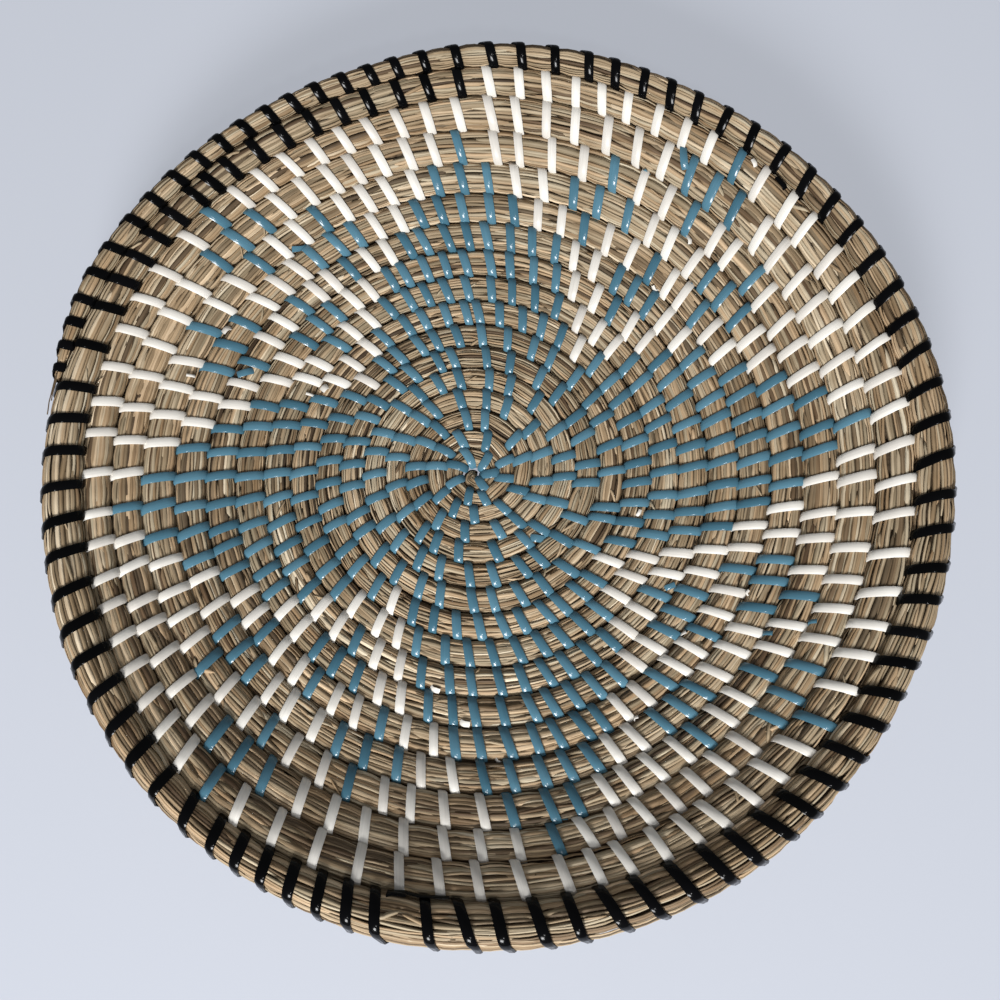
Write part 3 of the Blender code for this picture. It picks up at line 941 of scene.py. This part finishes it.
# How deep a tail's first quarter goes down.
TAIL_DEPTH = 0.9 * MM
TAIL_SUNK_SHARE = 0.25
# Other stray straws: how many, and their ranges of turns left, length, place, width and height.
RANDOM_STRAYS = 110
STRAY_TURNS = (0.05, 14)
STRAY_LENGTHS = (5, 11)
STRAY_PLACES = (-0.8, 0.8)
STRAY_CROSSING = 0.45
STRAY_WIDTHS = (0.5, 1.3)
STRAY_HEIGHTS = (0.1, 0.4)
STRAY_STEPS = 8
STRAY_THICKNESS = 0.2 * MM
# A stray's ends: how deep they go and how wide they still are, over a quarter of it each.
STRAY_END_DEPTH = 0.5 * MM
STRAY_END_WIDTH = 0.4
STRAY_TONE = 0.55
STRAY_TONE_SPREAD = 0.17
TRAILING_TONE = 0.12


def across_to_around(across):
    """The place round the bundle of a place across its upper side."""
    even, section_across, _ = SECTION
    upper = even <= math.pi
    return np.interp(-np.asarray(across), -section_across[upper], even[upper])


def between_stitches(left, across):
    """The place halfway between the two stitches beside a point."""
    turned = COIL_TURNS - left
    turned -= read_course(turned)[REACH] * (0.5 - across_to_around(across) / math.pi)
    after = np.clip(np.searchsorted(FENCE, turned), 1, len(FENCE) - 1)
    return (FENCE[after - 1] + FENCE[after]) / 2


def laid_path(left, across, along, over, raised, levels):
    """A tail's run on the bundle's upper side, one end sunk: points and normals."""
    place = COIL_TURNS - left if raised > STITCH_COVER else between_stitches(left, across)
    columns = read_course(place)
    share = levels - 0.5
    turned = place + share * along / columns[LENGTH]
    around = across_to_around(np.clip(across + share * over / columns[HALF_WIDTH], -1, 1))
    sunk = np.clip((-share - 0.5 + TAIL_SUNK_SHARE) / TAIL_SUNK_SHARE, 0, 1)
    height = raised - TAIL_DEPTH * sunk
    return over_bundle(turned, around, height)


def lay_tails():
    """The cut ends of strap, a piece for each strap."""
    template_points, template_faces = model_strap(TAIL_STEPS)
    levels = np.unique(np.round(template_points[:, 2], 5))
    lay = np.column_stack((template_points[:, 2] * TAIL_LAY, template_points[:, 0] * MM))
    for strap, tails in TAILS.items():
        copies = []
        for left, across, along, over, width, raised in tails:
            path, normals = laid_path(left, across, along * MM, over * MM, raised * MM, levels)
            half = np.full(len(levels), width / 2 * MM)
            points = swept(template_points, path, normals, half, TAIL_THICKNESS)
            copies.append((points, template_faces, lay, TAIL_TONE))
        piece = add_piece(f"cut_tails_{strap}", copies, STRAPS[strap],
                          STRAP_SHARP_ANGLE)
        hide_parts(*NODES_OF[strap])


def lay_strays():
    """Straws that have come out of the bundle, those of the table and others at random."""
    template_points, template_faces = model_straw(STRAY_STEPS)
    levels = np.unique(np.round(template_points[:, 2], 5))
    strays = list(STRAYS)
    for _ in range(RANDOM_STRAYS):
        across = rng.uniform(*STRAY_PLACES)
        strays.append((rng.uniform(*STRAY_TURNS), rng.uniform(*STRAY_LENGTHS),
                       across, across + rng.normal(0, STRAY_CROSSING),
                       rng.uniform(*STRAY_WIDTHS), rng.uniform(*STRAY_HEIGHTS)))
    copies = []
    for left, length, first, last, width, raised in strays:
        columns = read_course(COIL_TURNS - left)
        # One with a length below zero starts at its place, and the others have their middle there.
        share = levels if length < 0 else levels - 0.5
        turned = COIL_TURNS - left + share * abs(length) * MM / columns[LENGTH]
        around = across_to_around(np.clip(first + (last - first) * levels, -1, 1))
        end = np.clip(np.minimum(levels, 1 - levels) * 4, 0, 1)
        height = raised * MM - STRAY_END_DEPTH * (1 - end)
        path, normals = over_bundle(turned, around, height)
        half = width / 2 * MM * (STRAY_END_WIDTH + (1 - STRAY_END_WIDTH) * end)
        points = swept(template_points, path, normals, half, STRAY_THICKNESS)
        points[:, 2] = np.maximum(points[:, 2], GROUND_REST)
        tone = TRAILING_TONE
        if length > 0:
            tone = np.clip(rng.normal(STRAY_TONE, STRAY_TONE_SPREAD), 0.1, 1)
        lay = np.column_stack((template_points[:, 2] * abs(length) * MM + tone,
                               template_points[:, 0] * width * MM))
        copies.append((points, template_faces, lay, tone))
    piece = add_piece("stray_straws", copies, GRASS)
    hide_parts("grass_coil")


lay_tails()
lay_strays()


# Floor, light and camera.

# What the camera sees of the floor is in this share a plain colour, so the shadow is faint.
FLOOR_PLAIN_SHARE = 0.66


def pale_floor():
    bpy.ops.object.select_all(action="DESELECT")
    bpy.ops.mesh.primitive_plane_add(size=6, location=(0, 0, 0))
    floor = bpy.context.object
    floor.name = "pale_floor"
    material, nodes, links, shader = new_material("pale_floor")
    set_inputs(shader, {"Base Color": (0.62, 0.65, 0.73, 1), "Roughness": 0.9})
    set_inputs(shader, {"Specular IOR Level": 0.1})
    plain = nodes.new("ShaderNodeEmission")
    plain.inputs["Color"].default_value = (0.575, 0.605, 0.675, 1)
    path = nodes.new("ShaderNodeLightPath")
    share = nodes.new("ShaderNodeMath")
    share.operation = "MULTIPLY"
    share.inputs[1].default_value = FLOOR_PLAIN_SHARE
    links.new(path.outputs["Is Camera Ray"], share.inputs[0])
    mix = nodes.new("ShaderNodeMixShader")
    links.new(share.outputs["Value"], mix.inputs["Fac"])
    links.new(shader.outputs["BSDF"], mix.inputs[1])
    links.new(plain.outputs["Emission"], mix.inputs[2])
    links.new(mix.outputs["Shader"], nodes["Material Output"].inputs["Surface"])
    floor.data.materials.append(material)


def soft_light(name, power, size, place):
    """A square lamp that points at the basket."""
    light = bpy.data.lights.new(name, "AREA")
    light.energy = power
    light.size = size
    lamp = bpy.data.objects.new(name, light)
    bpy.context.scene.collection.objects.link(lamp)
    lamp.location = place
    lamp.rotation_euler = (-Vector(place)).to_track_quat("-Z", "Y").to_euler()


def lit_scene():
    """A dim soft room and two lamps. The room is pale to the camera alone."""
    world = bpy.data.worlds.new("soft_room")
    world.use_nodes = True
    nodes, links = world.node_tree.nodes, world.node_tree.links
    set_inputs(nodes["Background"], {"Color": (0.92, 0.95, 1.0, 1), "Strength": 0.235})
    backdrop = nodes.new("ShaderNodeBackground")
    backdrop.inputs["Color"].default_value = (0.60, 0.63, 0.70, 1)
    path = nodes.new("ShaderNodeLightPath")
    seen = nodes.new("ShaderNodeMixShader")
    links.new(path.outputs["Is Camera Ray"], seen.inputs["Fac"])
    links.new(nodes["Background"].outputs["Background"], seen.inputs[1])
    links.new(backdrop.outputs["Background"], seen.inputs[2])
    links.new(seen.outputs["Shader"], nodes["World Output"].inputs["Surface"])
    bpy.context.scene.world = world
    soft_light("window_light", power=21.5, size=0.34, place=(-0.16, -1.0, 0.71))
    soft_light("small_lamp", power=1.6, size=0.06, place=(0.12, -0.62, 0.95))
    bpy.context.scene.view_settings.view_transform = "Standard"


def set_camera():
    camera_data = bpy.data.cameras.new("camera")
    camera_data.lens = 36
    camera_data.sensor_width = 36
    camera_data.clip_start = 0.01
    camera = bpy.data.objects.new("camera", camera_data)
    camera.location = (4.9 * MM, -70.2 * MM, 355.2 * MM)
    camera.rotation_euler = (0.180, 0.008, 0)
    bpy.context.scene.collection.objects.link(camera)
    bpy.context.scene.camera = camera


pale_floor()
lit_scene()
set_camera()
